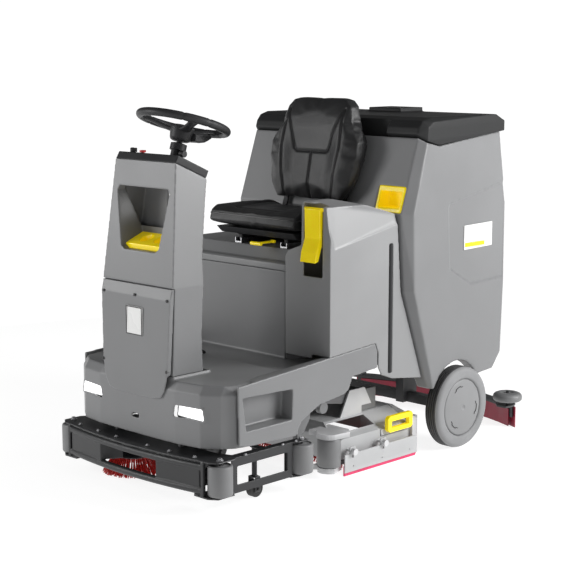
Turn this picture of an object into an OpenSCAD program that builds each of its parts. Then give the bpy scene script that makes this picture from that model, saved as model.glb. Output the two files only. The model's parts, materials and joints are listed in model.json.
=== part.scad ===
// Ride-on scrubber dryer: an operator's machine that scrubs and dries hard floors.
// Lengths are in millimetres. +Z is up, the machine drives towards -Y and +X is its left side.
// Stations (y) are measured back from the front bumper's end plates, and shift()
// moves every piece so that the origin is on the floor under the middle of the machine.

/* [Machine] */
// Station of the origin, at half of the machine's length
origin_y = 911.6; // [900:0.1:925]
// Half width of the body over the sills
sill_x = 440; // [430:1:450]
// Height of the footwell floor
floor_z = 440; // [425:1:450]
// Height of the lower body's bottom edge at the nose
nose_z0 = 222; // [210:1:235]

/* [Wheels] */
// Rear wheel diameter
rear_d = 340; // [320:1:350]
// Rear wheel tread width
rear_w = 70; // [60:1:74]
// Distance from the middle plane to the middle of a rear tyre
rear_x = 461; // [455:1:470]
// Station of the rear axle
rear_y = 1345; // [1335:1:1355]
// Front drive wheel diameter
drive_d = 240; // [220:1:244]
// Front drive wheel width
drive_w = 74; // [60:1:76]
// Station of the steering axis
drive_y = 330; // [320:1:340]

/* [Bumper] */
// Half width between the front end plates
bumper_x = 390; // [384:1:394]
// How far the front tubes bulge forwards
bumper_bulge = 34; // [25:1:45]
// Bumper roller diameter
roller_d = 92; // [80:1:94]
// Bumper roller height
roller_h = 112; // [100:1:114]
// Height of the rollers' lower face
roller_z = 68; // [67:1:72]

/* [Steering] */
// Steering wheel diameter over the rim
wheel_d = 360; // [340:1:380]
// Rim thickness
rim_d = 32; // [26:1:36]
// Lean of the steering column towards the driver, in degrees
column_lean = 17; // [14:1:20]

/* [Seat] */
// Half width of the seat cushion
seat_x = 245; // [230:1:250]
// Top of the seat cushion
cushion_z = 1022; // [1005:1:1030]
// Top of the backrest
back_z = 1450; // [1420:1:1460]

/* [Tank] */
// Half width of the tank at its front edge
tank_x = 480; // [470:1:484]
// Station of the tank's rear wall
tank_y1 = 1714; // [1700:1:1720]

/* [Brush deck] */
// Diameter of a brush roller
brush_d = 112; // [100:1:114]
// Length of a brush roller
brush_l = 700; // [680:1:710]
// Travel of the side skirts
skirt_travel = 20; // [10:1:20]

/* [Squeegee] */
// Half width of the squeegee at its blades' ends
squeegee_x = 470; // [455:1:475]
// Deflection roller diameter
deflector_d = 126; // [110:1:130]

/* [Hidden] */
$fn = 48;

gap = 0.5;              // radial clearance on a turning pin
wall = 6;               // thickness of a moulded wall
floor_gap = 0.3;        // free height under what only brushes the floor

plastic = "#8f9092";
dark = "#2b2c2e";
steel = "#9a9da0";
yellow = "#f2d400";
red = "#b01830";

rear_z = rear_d / 2;
drive_z = drive_d / 2;

// column: the axis passes the wheel's hub and the top of the bearing tube
hub_point = [0, 255, 1345];
column_dir = [0, sin(column_lean), cos(column_lean)];

pedal_point = [-110, 420, 458];
lever_x = 350;
lever_pin = [605, 1040];    // station and height of the lever's pin
brush_y = [765, 885];
brush_z = brush_d / 2 + floor_gap;
knob_y = [730, 912];
knob_z = 94;
arm_point = [585, 310];     // deck arms' pivot on the chassis, station and height
deck_point = [880, 255];    // deck's pivot on the arms, station and height
side_brush_point = [-225, 180];
deck_roller_point = [382, 652];
side_arm_point = [80, 214];
seat_hinge = [-432, 800];   // x and height of the battery cover's hinge
lid_hinge = [1664, 1322];   // station and height of the lid's hinge
squeegee_pivot = [1500, 250];
squeegee_swing_y = 1790;
squeegee_mid_y = 1858;       // station of the blades' middle
squeegee_bow = 2000;         // the blades' middle line drops forwards by x * x / squeegee_bow
deflector_point = [455, 1712];

// ---- helpers ------------------------------------------------------------------

module shift() { translate([0, -origin_y, 0]) children(); }

module box(low, high) { translate(low) cube(high - low); }

// outline of [station, height] points, as wide as x0 to x1
module side_prism(x0, x1, points) {
    translate([x0, 0, 0]) rotate([90, 0, 90]) linear_extrude(x1 - x0) polygon(points);
}

// outline of [x, height] points, as deep as y0 to y1
module front_prism(y0, y1, points) {
    translate([0, y1, 0]) rotate([90, 0, 0]) linear_extrude(y1 - y0) polygon(points);
}

// outline of [x, station] points, as high as z0 to z1
module plan_prism(z0, z1, points) {
    translate([0, 0, z0]) linear_extrude(z1 - z0) polygon(points);
}

module rod(a, b, d) {
    v = b - a;
    translate(a) rotate([0, acos(v[2] / norm(v)), atan2(v[1], v[0])])
        cylinder(d = d, h = norm(v));
}

module rod_x(x0, x1, y, z, d) {
    translate([x0, y, z]) rotate([0, 90, 0]) cylinder(d = d, h = x1 - x0);
}

module post(x, y, z0, z1, d) { translate([x, y, z0]) cylinder(d = d, h = z1 - z0); }

module both_sides() {
    children();
    mirror([1, 0, 0]) children();
}

// moves the children to the steering column's frame, with its axis along Z
module on_column() { translate(hub_point) rotate([-column_lean, 0, 0]) children(); }

function arc(c, r, a0, a1, steps) =
    [for (i = [0:steps]) c + r * [cos(a0 + (a1 - a0) * i / steps), sin(a0 + (a1 - a0) * i / steps)]];

function mirrored(points) =
    concat(points, [for (i = [len(points) - 1:-1:0]) [-points[i][0], points[i][1]]]);

// ---- chassis and what it carries ------------------------------------------------

module chassis_frame() color(dark) shift() difference() {
    union() {
        both_sides() {
            box([170, 90, 340], [210, 1560, 390]);
            box([176, 60, bumper_top + 6], [188, 130, 345]);
            box([170, 90, 300], [276, 130, 345]);
            box([214, 560, 285], [226, 612, 345]);
            box([170, 1300, 150], [210, 1390, 345]);
            rod_x(395, rear_x + 20, rear_y, rear_z, 25);
        }
        box([-210, 90, 345], [210, 130, 390]);
        box([-226, 560, 345], [226, 600, 390]);
        box([-210, 1100, 345], [210, 1140, 390]);
        box([-210, 1520, 345], [210, 1560, 390]);
        box([-396, 1325, 150], [396, 1365, 190]);
        box([-210, 285, 350], [210, 375, 390]);
        post(0, drive_y, 306, 400, 96);
        both_sides() box([40, 1488, 225], [52, 1560, 350]);
        // ears of the side brush's arm, with its pin
        for (x = [-276, -206])
            side_prism(x, x + 10, [[64, 200], [64, 290], [78, 310], [78, 345], [130, 345], [130, 200]]);
        rod_x(-276, -196, side_arm_point[0], side_arm_point[1], 12);
        // battery tray
        box([-262, 600, 384], [212, 986, 390]);
    }
    post(0, drive_y, 290, 410, 50 + 2 * gap);
    rod_x(-230, 230, arm_point[0], arm_point[1], 30 + 2 * gap);
    rod_x(-60, 60, squeegee_pivot[0], squeegee_pivot[1], 16 + 2 * gap);
}

// four traction batteries, two by two, with their terminals
module batteries() color(dark) shift()
    for (x = [-160, 40], y = [636, 812]) {
        box([x - 95, y, 390], [x + 95, y + 168, 700]);
        for (t = [-60, 60]) post(x + t, y + 40, 700, 722, 20);
    }

// ---- lower body ------------------------------------------------------------------

function nose_plan(inset) = let(s = sill_x - inset) mirrored([
    [0, 10 + inset], [215, 12 + inset], [330, 30 + inset], [392, 72 + inset], [s - 18, 118 + inset],
    [s - 4, 200], [s, 420]
]);

side_wall = [
    [118, nose_z0 + 12], [150, 226], [410, 216], [427, 250], [440, 268], [536, 313], [676, 331],
    [700, 345], [722, 392], [866, 404], [866, 470], [852, 502], [813, 500], [114, 450]
];

module nose_solid(inset, z0) {
    plan_prism(z0, 418 - inset, nose_plan(inset));
    hull() {
        plan_prism(417 - inset, 418 - inset, nose_plan(inset));
        plan_prism(448 - inset, 450 - inset, nose_plan(inset + 22));
    }
}

module headlight_pocket(depth) {
    front_prism(-10, 40 + depth, [[206, 324], [214, 366], [338, 366], [346, 324]]);
}

module body_shell() color(plastic) shift() difference() {
    union() {
        difference() {
            nose_solid(0, nose_z0);
            nose_solid(wall, nose_z0 - 10);
            box([-600, 420, 0], [600, 1000, 600]);
            both_sides() headlight_pocket(20);
            box([-27, -10, 284], [13, 40, 298]);
        }
        // footwell floor between the sills, and the wall up to the seat box
        box([-sill_x + 4, 200, floor_z - 10], [sill_x - 4, 866, floor_z]);
        box([-400, 612, floor_z - 5], [184, 622, 786]);
        box([-434, 612, floor_z - 5], [-400, 980, 786]);
        both_sides() {
            side_prism(sill_x - 8, sill_x, side_wall);
            hull() {
                side_prism(sill_x - 22, sill_x - 8,
                    [[200, 430], [200, 456], [813, 500], [852, 502], [866, 470], [866, 430]]);
                side_prism(sill_x - 90, sill_x - 88,
                    [[200, 430], [200, 442], [813, 462], [866, 460], [866, 430]]);
            }
            headlight_box();
            side_pocket(0);
        }
        // collar that carries the console
        difference() {
            box([-188, 30, 430], [188, 214, 462]);
            box([-180, 36, 420], [180, 206, 470]);
        }
    }
    both_sides() side_pocket(4);
    box([-150, 60, 425], [150, 200, 475]);
    // room for the batteries
    box([-262, 624, 400], [212, 1000, 445]);
}

// housing behind a headlight
module headlight_box() difference() {
    front_prism(30, 74, [[202, 320], [210, 370], [342, 370], [350, 320]]);
    front_prism(20, 70, [[206, 324], [214, 366], [338, 366], [346, 324]]);
}

// pocket moulded into the side of the nose, open outwards; grow > 0 gives the hollow
module side_pocket(grow) {
    depth = 62;
    outer = [[128, 414], [400, 406], [396, 276], [148, 274]];
    inner = [[136, 406], [392, 398], [388, 284], [154, 282]];
    if (grow == 0) side_prism(sill_x - depth, sill_x - 4, outer);
    else side_prism(sill_x - depth + grow, sill_x + 20, inner);
}

module headlight_lenses() color("white") shift() both_sides()
    front_prism(34, 44, [[206.6, 324.5], [214.4, 365.5], [337.6, 365.5], [345.4, 324.5]]);

// ---- console ---------------------------------------------------------------------

console_side = [
    [24, 786], [71, 1233], [217, 1169], [203, 1084], [175, 890], [170, 600], [182, 462], [26, 462]
];
console_front = mirrored([[0, 462], [182, 462], [199, 786], [169, 1236], [0, 1236]]);
pocket_front = mirrored([[0, 905], [86, 905], [105, 918], [146, 1120], [136, 1136], [0, 1136]]);

module console_outer() intersection() {
    front_prism(0, 260, console_front);
    side_prism(-210, 210, console_side);
}

module console_shell() color(plastic) shift() difference() {
    console_outer();
    // storage pocket in the front, and the room for the column and the wiring behind it
    front_prism(0, 150, pocket_front);
    side_prism(-155, 155, [[34, 450], [40, 880], [164, 880], [160, 600], [172, 450]]);
    side_prism(-150, 150, [[88, 1146], [92, 1215], [207, 1165], [194, 1080], [172, 950], [162, 950]]);
    // seat of the lower front cover
    box([-200, 0, 455], [200, 34, 786]);
    on_column() translate([0, 0, -300]) cylinder(d = 60, h = 320);
}

cover_outline = mirrored([[0, 372], [110, 374], [146, 382], [166, 410], [183, 480], [197, 783], [0, 783]]);

module lower_cover() color(plastic) shift() difference() {
    intersection() {
        front_prism(-10, 40, cover_outline);
        side_prism(-210, 210, [[2, 370], [5, 480], [13, 742], [24, 784], [33, 784], [24, 470], [9.6, 462],
            [9.6, 370]]);
    }
    for (p = screw_points) rotate_screw(p) cylinder(d = 5, h = 60, center = true);
}

screw_points = [[-180, 13, 742], [180, 13, 742], [-181, 5, 483], [181, 5, 483], [0, 13, 745]];

module rotate_screw(p) { translate(p) rotate([90, 0, 0]) children(); }

module cover_screws() color(dark) shift() for (p = screw_points) rotate_screw(p) {
    translate([0, 0, 0.5]) cylinder(d = 11, h = 3.5);
    translate([0, 0, -14]) cylinder(d = 4.6, h = 15);
}

// plain plates: one on the lower front cover and one on each side of the tank
module badge_plates() color("white") shift() {
    side_prism(-45, 45, [[5.6, 598], [8.5, 598], [11.7, 702], [8.8, 702]]);
    both_sides() on_tank_side(0) side_prism(-5.9, -2.5, [[345, 818], [345, 918], [560, 918], [560, 818]]);
}

cap_side = [[71, 1233.5], [87, 1260], [231, 1196], [217.5, 1169.5]];

module console_cap() color(dark) shift() difference() {
    intersection() {
        side_prism(-169, 169, cap_side);
        plan_prism(1100, 1300, mirrored([[0, 60], [167, 68], [169, 240], [0, 240]]));
    }
    on_column() translate([0, 0, -300]) cylinder(d = 60, h = 320);
    translate([-112, 112, 1200]) cylinder(d = 20, h = 100);
    translate([-60, 112, 1200]) cylinder(d = 18, h = 100);
}

module storage_insert() color(yellow) shift() difference() {
    intersection() {
        front_prism(55, 149, mirrored([[0, 905.5], [85, 905.5], [104, 918], [112, 962], [0, 962]]));
        side_prism(-200, 200, [[60, 900], [60, 925], [100, 940], [149, 958], [149, 900]]);
    }
    for (x = [-40, 40]) post(x, 108, 918, 1000, 52);
}

module steering_column() color(dark) shift() {
    on_column() {
        difference() {
            translate([0, 0, -225]) cylinder(d = 48, h = 165);
            translate([0, 0, -230]) cylinder(d = 22 + 2 * gap, h = 180);
        }
        // clamp collar and the tilt catch at its side
        difference() {
            translate([0, 0, -88]) cylinder(d = 62, h = 26);
            translate([0, 0, -230]) cylinder(d = 22 + 2 * gap, h = 180);
        }
        translate([28, -6, -100]) rotate([0, 90, 0]) cylinder(d = 26, h = 22);
    }
    // bracket to the console's inner wall
    difference() {
        side_prism(-60, 60, [[150.5, 1150], [150.5, 1158], [205, 1158], [203.8, 1150]]);
        on_column() translate([0, 0, -300]) cylinder(d = 47, h = 200);
    }
}

module steering_wheel() color(dark) shift() on_column() {
    tube_r = (wheel_d - rim_d) / 2;
    translate([0, 0, 18]) rotate_extrude($fn = 96) translate([tube_r, 0]) circle(d = rim_d, $fn = 24);
    for (a = [90, 205, 335]) rotate([0, 0, a])
        front_prism(-18, 18, [[20, -14], [tube_r - 6, 10], [tube_r - 6, 24], [20, 2]]);
    translate([0, 0, -52]) cylinder(d1 = 76, d2 = 96, h = 56);
    translate([0, 0, -224]) cylinder(d = 22, h = 175);
    // pod with the drive switches under the rear of the wheel
    hull() {
        translate([-55, 34, -42]) cube([110, 8, 26]);
        translate([-34, 112, -14]) cube([68, 20, 18]);
    }
}

module selector_knob() color(dark) shift() translate([-112, 112, 0]) {
    translate([0, 0, 1257]) cylinder(d = 26, h = 15);
    translate([0, 0, 1222]) cylinder(d = 14, h = 36);
    box([-2, -13, 1271], [2, 0, 1274]);
}

module stop_button() color("red") shift() translate([-60, 112, 0]) {
    translate([0, 0, 1258]) cylinder(d = 24, h = 8);
    translate([0, 0, 1222]) cylinder(d = 12, h = 37);
}

module accelerator_pedal() color(dark) shift() {
    p = pedal_point;
    side_prism(p[0] - 38, p[0] + 38, [
        [p[1] + 5, p[2]], [p[1] + 3, p[2] + 6], [p[1] - 122, p[2] + 74], [p[1] - 132, p[2] + 72],
        [p[1] - 126, p[2] + 66], [p[1] - 6, p[2] - 2]
    ]);
    rod_x(p[0] - 40, p[0] + 40, p[1], p[2], 12);
}

// ---- left side block ---------------------------------------------------------------

block_front = [
    [205, 470], [205, 852], [222, 876], [288, 900], [291, 1058], [300, 1068], [330, 1068], [436, 1046],
    [462, 900], [462, 893], [444, 548], [444, 310], [300, 310], [300, 470]
];
block_side = [
    [590, 470], [590, 868], [594, 1075], [700, 1075], [974, 1000], [1000, 690], [1094, 440], [1136, 322],
    [953, 348], [890, 372], [870, 408], [870, 470]
];

module block_outer() difference() {
    intersection() {
        front_prism(500, 1200, block_front);
        side_prism(100, 500, block_side);
    }
    // above the fold the side leans inwards to the sloping top edge
    side_fold();
    // recess over the sill
    box([441.5, 400, 300], [600, 1200, 1100]);
}

module side_fold() {
    hull() {
        translate([440, 615, 893]) sphere(d = 0.1, $fn = 8);
        translate([440, 1020, 968]) sphere(d = 0.1, $fn = 8);
        translate([417, 640, 1048]) sphere(d = 0.1, $fn = 8);
        translate([432, 1020, 988]) sphere(d = 0.1, $fn = 8);
        translate([500, 540, 880]) sphere(d = 0.1, $fn = 8);
        translate([500, 1040, 972]) sphere(d = 0.1, $fn = 8);
        translate([500, 540, 1100]) sphere(d = 0.1, $fn = 8);
        translate([500, 1040, 1100]) sphere(d = 0.1, $fn = 8);
        translate([414, 570, 1075]) sphere(d = 0.1, $fn = 8);
    }
}

module side_cover() color(plastic) shift() difference() {
    block_outer();
    // hollow inside, open to the rear and below
    side_prism(212, 434, [[598, 300], [598, 862], [602, 890], [1200, 890], [1200, 300]]);
    side_prism(298, 404, [[640, 880], [640, 1030], [700, 1040], [985, 985], [985, 880]]);
    // slot for the lever
    side_prism(300, 400, [[560, 785], [560, 1062], [632, 1062], [632, 900], [604, 785]]);
    // bores for the lever's pin, and the slot for the level tube
    rod_x(293, 407, lever_pin[0], lever_pin[1], 14 + 2 * gap);
    box([430, 929, 372], [470, 951, 886]);
    // seat over the sill
    side_prism(345, 442, [[560, 400], [560, 483], [813, 501], [853, 503], [867.5, 470.5], [867.5, 400]]);
}

module level_tube() color(dark) shift() {
    difference() {
        post(436, 940, 374, 884, 21);
        post(436, 940, 380, 878, 14);
    }
}

module squeegee_lever() color(yellow) shift() {
    side_prism(lever_x - 40, lever_x + 40,
        [[600, 1048], [604, 1020], [600, 905], [580, 846], [562, 842], [568, 880], [588, 930], [586, 1042]]);
    rod_x(295, 405, lever_pin[0], lever_pin[1], 14);
}

// ---- seat --------------------------------------------------------------------------

module battery_cover() color(plastic) shift() {
    side_prism(-430, 198, [
        [596, 790], [598, 814], [606, 820], [624, 822], [652, 866], [976, 866], [976, 858], [657, 858],
        [632, 812], [618, 810], [618, 790]
    ]);
    box([-430, 622.5, 788], [-422, 976, 860]);

    translate([seat_hinge[0], 700, seat_hinge[1]]) rotate([-90, 0, 0]) cylinder(d = 10, h = 200);
    box([-434, 700, 796], [-424, 900, 806]);
}

module seat_rails() color(steel) shift() both_sides() {
    box([110, 660, 866], [146, 970, 872]);
    box([110, 660, 872], [114, 970, 886]);
    box([142, 660, 872], [146, 970, 886]);
}

module seat_pan() color(dark) shift() {
    both_sides() box([118, 672, 874], [138, 960, 897]);
    side_prism(-seat_x + 30, seat_x - 30, [
        [622, 932], [650, 905], [700, 896], [952, 896], [982, 936], [974, 940], [948, 932]
    ]);
    // shell behind the backrest, with its two struts
    both_sides() side_prism(150, 176, [
        [900, 900], [948, 900], [959, 960], [977, 1018], [1009, 1120], [1012, 1132], [1004, 1132],
        [1001, 1122], [969, 1020], [951, 968], [944, 934], [900, 934]
    ]);
}

module seat_cushion() color(dark) shift() {
    side_prism(-seat_x, seat_x, [
        [592, 960], [606, 1002], [640, cushion_z], [760, cushion_z - 14], [905, cushion_z - 6],
        [925, 1012], [942, 975], [935, 941], [700, 935], [640, 936], [606, 944]
    ]);
}

back_front = mirrored([
    [0, 1018], [178, 1022], [222, 1090], [250, 1200], [250, 1262], [206, 1350], [180, 1415],
    [150, back_z - 8], [110, back_z], [0, back_z]
]);

module seat_back() color(dark) shift() intersection() {
    front_prism(850, 1100, back_front);
    side_prism(-260, 260, [
        [918, 1018], [968, 1018], [1000, 1120], [1034, 1260], [1050, 1360], [1062, back_z + 5],
        [1004, back_z + 5], [975, 1330], [945, 1200], [922, 1080]
    ]);
}

module slide_lever() color(yellow) shift() {
    rod([50, 592, 884], [50, 680, 884], 9);
    rod([20, 588, 884], [78, 588, 884], 14);
    rod_x(40, 60, 680, 884, 12);
}

// ---- tank --------------------------------------------------------------------------

tank_inner_edge = [
    [1085, 1296], [983, 998], [1009, 687], [1104, 440], [1146, 310], [1166, 272],
    [1640, 280], [tank_y1 - 12, 346], [tank_y1, 678], [tank_y1 - 2, 1000], [tank_y1 - 62, 1296]
];
// the side face, in a frame turned with the tank's taper, from the front edge back
tank_side_edge = [
    [30, 1272], [-56, 994], [-46, 690], [68, 369], [100, 270],
    [550, 282], [612, 346], [628, 678], [626, 1000], [570, 1296], [120, 1256]
];
tank_taper = 5.2;

module on_tank_side(depth) {
    translate([tank_x - depth, 1080, 0]) rotate([0, 0, tank_taper]) translate([0, -30, 0]) children();
}

module tank_outer() difference() {
    hull() {
        side_prism(-450, 450, [for (p = tank_inner_edge) if (p[0] < 1200 && p[1] > 200) p]);
        side_prism(-415, 415, tank_inner_edge);
        both_sides() on_tank_side(0) translate([0, 30, 0]) side_prism(-1, 0, tank_side_edge);
    }
    // wheel arches, and the room for the chassis between them
    both_sides() rod_x(392, 600, rear_y, rear_z, 2 * (rear_z + 21));
    box([-393, 900, 100], [393, 1800, 392]);
    // the top edge dips towards the front, under the lid
    side_prism(-600, 600, lid_parting);
}

lid_parting = [
    [1000, 1302], [1084, 1292], [1109, 1272], [1197, 1254], [1700, 1300], [1700, 1500], [1000, 1500]
];

module tank() color(plastic) shift() difference() {
    union() {
        tank_outer();
        // ears of the lid's hinge
        both_sides() for (x = [236, 304]) side_prism(x, x + 10, [
            [1640, 1262], [1655, 1296], [1655, 1330], [1664, 1336], [1674, 1332], [1678, 1320], [1664, 1262]
        ]);
    }
    rod_x(-330, 330, lid_hinge[0], lid_hinge[1], 10 + 2 * gap);
    // recovery tank, open under the lid, over the fresh water tank, joined by the overflow
    intersection() {
        union() {
            side_prism(-480, 480, [
                [1100, 700], [1080, 1010], [1180, 1330], [1620, 1330], [1660, 1000], [1660, 700]
            ]);
            side_prism(-480, 480, [[1170, 402], [1100, 600], [1096, 688], [1662, 688], [1650, 402]]);
        }
        plan_prism(400, 1340, mirrored([[0, 1075], [456, 1078], [406, 1670], [0, 1670]]));
    }
    post(330, 1560, 660, 720, 60);
    // seat of the hand pocket
    front_prism(960, 1070, [[312, 1000], [446, 1000], [446, 1102], [312, 1102]]);
    both_sides() on_tank_side(6)
        side_prism(0, 20, [[218, 1000], [228, 1016], [660, 1085], [660, 672], [402, 668], [238, 750]]);
}

module hand_pocket() color(yellow) shift() difference() {
    intersection() {
        front_prism(970, 1068, [[312.5, 1000.5], [445.5, 1000.5], [445.5, 1101.5], [312.5, 1101.5]]);
        side_prism(300, 460, [[984, 996], [1018, 1105], [1080, 1105], [1080, 996]]);
    }
    front_prism(960, 1060, [[324, 1018], [434, 1018], [434, 1082], [324, 1082]]);
}

module tank_lid() color(dark) shift() difference() {
    union() {
        difference() {
            hull() {
                side_prism(-452, 452, [
                    [1078, 1303], [1086, 1330], [1108, 1356], [1150, 1368], [1590, 1368], [1650, 1340],
                    [1650, 1298], [1197, 1257], [1108, 1275]
                ]);
                both_sides() on_tank_side(0) translate([0, 30, 0]) side_prism(-6, -1, [
                    [36, 1278], [40, 1330], [76, 1350], [500, 1348], [530, 1332], [530, 1294], [117, 1258]
                ]);
            }
            // hollow underneath
            side_prism(-440, 440, [[1130, 1250], [1130, 1345], [1580, 1345], [1636, 1330], [1636, 1250]]);
            translate([0, 0, -0.5]) tank_top_cut();
            // the front steps back between the shoulders
            box([-290, 1000, 1240], [290, 1112, 1400]);
        }
        box([-120, 1440, 1366], [60, 1590, 1386]);
        both_sides() box([250, 1640, 1312], [300, 1662, 1332]);
        both_sides() rod_x(250, 300, lid_hinge[0], lid_hinge[1], 20);
        both_sides() rod_x(234, 316, lid_hinge[0], lid_hinge[1], 10);
    }
}

module tank_top_cut() {
    side_prism(-600, 600, [
        [900, 1200], [900, 1302], [1084, 1292.5], [1109, 1272.5], [1197, 1254.5], [1700, 1300.5], [1700, 1200]
    ]);
}

// ---- wheels ------------------------------------------------------------------------

module steer_fork() color(dark) shift() difference() {
    union() {
        post(0, drive_y, 262, 412, 50);
        post(0, drive_y, 262, 304, 110);
        box([-66, drive_y - 50, 262], [66, drive_y + 50, 282]);
        both_sides() hull() {
            box([54, drive_y - 45, 262], [66, drive_y + 45, 264]);
            rod_x(54, 66, drive_y, drive_z, 60);
        }
    }
    rod_x(-70, 70, drive_y, drive_z, 25 + 2 * gap);
}

module drive_wheel() color(dark) shift() {
    w = drive_w / 2;
    translate([0, drive_y, drive_z]) rotate([0, 90, 0]) rotate_extrude($fn = 96) polygon([
        [0, -w + 4], [70, -w + 4], [72, -w + 10], [84, -w + 10], [86, -w], [drive_d / 2 - 8, -w],
        [drive_d / 2, -w + 8], [drive_d / 2, w - 8], [drive_d / 2 - 8, w], [86, w], [84, w - 10],
        [72, w - 10], [70, w - 4], [0, w - 4]
    ]);
    rod_x(-70, 70, drive_y, drive_z, 25);
}

// a rear tyre's section: grooves round the tread and a flat outer wall
module rear_tyre() {
    w = rear_w / 2;
    r = rear_d / 2;
    translate([rear_x, rear_y, rear_z]) rotate([0, 90, 0]) rotate_extrude($fn = 120) difference() {
        polygon([
            [119, -w], [r - 12, -w], [r, -w + 9], [r, w - 14], [r - 14, w], [126, w], [119, w - 6]
        ]);
        for (z = [-22, -11, 0, 11]) translate([r - 3, z - 1.5]) square([10, 3]);
    }
}

module rear_hub() {
    w = rear_w / 2;
    translate([rear_x, rear_y, rear_z]) rotate([0, 90, 0]) difference() {
        rotate_extrude($fn = 120) polygon([
            [0, -w + 8], [118.9, -w], [118.9, w - 6], [112, w - 2], [0, w + 1]
        ]);
        translate([0, 0, -w - 20]) cylinder(d = 25 + 2 * gap, h = w + 20 + 22);
    }
}

module tyre_left() color(dark) shift() rear_tyre();
module tyre_right() color(dark) shift() mirror([1, 0, 0]) rear_tyre();
module hub_left() color(plastic) shift() rear_hub();
module hub_right() color(plastic) shift() mirror([1, 0, 0]) rear_hub();

// ---- bumper ------------------------------------------------------------------------

bumper_top = 190;
roller_front = [422, 40];
roller_rear = [424, 452];
caster_point = [362, 268];

module bumper_tube(z) {
    half = bumper_x - 12;
    r = (half * half + bumper_bulge * bumper_bulge) / (2 * bumper_bulge);
    angle = asin(half / r);
    translate([0, r - bumper_bulge, z]) rotate([0, 0, -90 - angle])
        rotate_extrude(angle = 2 * angle, $fn = 400) translate([r, 0]) circle(d = 28, $fn = 24);
}

module bumper_frame() color(dark) shift() difference() {
    union() {
        bumper_tube(172);
        bumper_tube(84);
        both_sides() {
            box([bumper_x - 14, -14, 66], [bumper_x, 0, bumper_top]);
            // faceted boxes between the tubes
            plan_prism(98, 158, [[160, -36], [368, -12], [372, 20], [372, 40], [118, 40]]);
            box([300, 20, 98], [312, 90, bumper_top + 3]);
            // side plate with its window
            side_prism(426, 432, [[88, 62], [88, 190], [398, 190], [398, 62]]);
            plan_prism(60, 66, [[340, -14], [410, -14], [444, 10], [444, 92], [340, 92]]);
            plan_prism(60, 66, [[404, 385], [432, 385], [444, 420], [444, 470], [404, 470]]);
            box([404, 380, 60], [410, 398, 190]);
            for (p = [roller_front, roller_rear]) post(p[0], p[1], 63, bumper_top + 4, 14);
            caster_fork();
        }
        // flat top band round the front and back along both sides
        plan_prism(bumper_top, bumper_top + 6, mirrored([
            [0, -48], [200, -36], [390, -10], [414, -10], [446, 14], [446, 90], [432, 110], [432, 392],
            [446, 420], [446, 472], [404, 472], [396, 120], [330, 100], [0, 100]
        ]));
    }
    both_sides() box([420, 116, 92], [440, 372, 160]);
    both_sides() rod_x(caster_point[0] - 40, caster_point[0] + 40, caster_point[1], 32, 8 + 2 * gap);
}

module caster_fork() {
    c = caster_point;
    for (s = [-1, 1]) box([c[0] + s * 17 - 2, c[1] - 14, 20], [c[0] + s * 17 + 2, c[1] + 14, 78]);
    box([c[0] - 19, c[1] - 14, 76], [c[0] + 19, c[1] + 14, 80]);
    post(c[0], c[1], 79, bumper_top + 1, 20);
    box([c[0] - 10, c[1] - 14, bumper_top - 1], [432, c[1] + 14, bumper_top + 6]);
}

module roller(x, y, z, d, h, pin) {
    translate([x, y, z]) rotate_extrude($fn = 72) polygon([
        [pin / 2 + gap, 0], [d / 2 - 5, 0], [d / 2, 5], [d / 2, h - 5], [d / 2 - 5, h], [pin / 2 + gap, h]
    ]);
}

module bumper_roller(p) color(steel) shift() roller(p[0], p[1], roller_z, roller_d, roller_h, 14);
module bumper_roller_front_left() bumper_roller(roller_front);
module bumper_roller_front_right() mirror([1, 0, 0]) bumper_roller(roller_front);
module bumper_roller_rear_left() bumper_roller(roller_rear);
module bumper_roller_rear_right() mirror([1, 0, 0]) bumper_roller(roller_rear);

module caster_left() color(dark) shift() {
    c = caster_point;
    rod_x(c[0] - 12, c[0] + 12, c[1], 32, 63.4);
    rod_x(c[0] - 24, c[0] + 24, c[1], 32, 8);
}
module caster_right() mirror([1, 0, 0]) caster_left();

// curved guard ahead of the deck, hung from the underside of the footwell floor
module deck_guard() color(plastic) shift() {
    c = [592, 200];
    side_prism(350, 376, concat(arc(c, 112, 95, 200, 16), arc(c, 98, 200, 95, 16)));
    side_prism(350, 354, concat(arc(c, 100, 100, 200, 16), [[545, 196], [575, 240]]));
    rod_x(350, 376, 628, 274, 46);
    side_prism(354, 372, [[582, 300], [582, 312], [618, 296], [640, 280], [628, 262]]);
    side_prism(352, 374, [[572, 300], [592, 300], [592, floor_z - 10], [572, floor_z - 10]]);
}

// ---- side brush --------------------------------------------------------------------

module side_brush_arm() color(dark) shift() {
    p = side_brush_point;
    difference() {
        union() {
            post(p[0], p[1], 90, 206, 84);
            box([-258, 66, 206], [-212, 220, 214]);
            rod_x(-258, -212, side_arm_point[0], side_arm_point[1], 28);
        }
        rod_x(-300, -200, side_arm_point[0], side_arm_point[1], 12 + 2 * gap);
    }
}

module side_brush() color(red) shift() translate([side_brush_point[0], side_brush_point[1], 0])
    rotate_extrude($fn = 72) polygon([
        [0, 62], [0, 84], [68, 84], [90, 72], [125, floor_gap], [84, floor_gap], [66, 62]
    ]);

// ---- brush deck --------------------------------------------------------------------

module deck_arms() color(dark) shift() {
    a = arm_point;
    d = deck_point;
    rod_x(-286, 286, a[0], a[1], 30);
    both_sides() difference() {
        hull() {
            rod_x(284, 292, a[0], a[1], 52);
            rod_x(284, 292, d[0], d[1], 44);
        }
        rod_x(280, 300, d[0], d[1], 20 + 2 * gap);
    }
}

hood_out = [
    [668, 60], [668, 150], [704, 190], [1122, 190], [1146, 160], [1146, 60]
];
hood_in = [
    [674, 0], [674, 147], [707, 184], [1119, 184], [1140, 157], [1140, 0]
];
hood_front = mirrored([[0, 0], [404, 0], [404, 140], [300, 191], [0, 191]]);

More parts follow.
